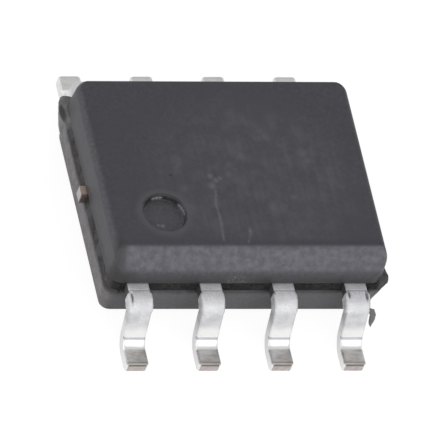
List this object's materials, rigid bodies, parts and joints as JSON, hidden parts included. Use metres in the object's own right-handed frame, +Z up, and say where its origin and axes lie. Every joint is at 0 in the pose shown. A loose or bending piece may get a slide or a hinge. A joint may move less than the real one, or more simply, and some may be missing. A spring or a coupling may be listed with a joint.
{
  "type": "soic chip",
  "caption": "Small-outline surface-mount chip: dark moulded body, gull-wing leads along both long sides, one chamfered edge and a round recess by the first lead.",
  "frame": {"origin": "centre of the package on the seating plane under the feet; resin left at the vent makes the box reach 0.03 mm further towards +X", "axes": "+X along the rows of leads, with leads 1 to 4 from -X to +X on the -Y side; +Y across the package, over the toes; +Z up, from the feet to the top face"},
  "size_m": [0.0051, 0.006, 0.0016],
  "materials": {
    "resin": "fine matt grain, as moulded",
    "tinned_lead": "satin tin plating over copper",
    "copper": "bare copper, sheared at its ends",
    "die_glue": "cured silver-filled glue",
    "silicon": "polished silicon",
    "gold": "drawn gold wire"
  },
  "bodies": {
    "root": {"mould_body": "resin", "lead_1": "tinned_lead", "lead_2": "tinned_lead", "lead_3": "tinned_lead", "lead_4": "tinned_lead", "lead_5": "tinned_lead", "lead_6": "tinned_lead", "lead_7": "tinned_lead", "lead_8": "tinned_lead", "die_pad": "copper", "die_glue": "die_glue", "silicon_die": "silicon", "bond_wire_1": "gold", "bond_wire_2": "gold", "bond_wire_3": "gold", "bond_wire_4": "gold", "bond_wire_5": "gold", "bond_wire_6": "gold", "bond_wire_7": "gold", "bond_wire_8": "gold", "resin_chip": "resin"}
  },
  "joints": []
}
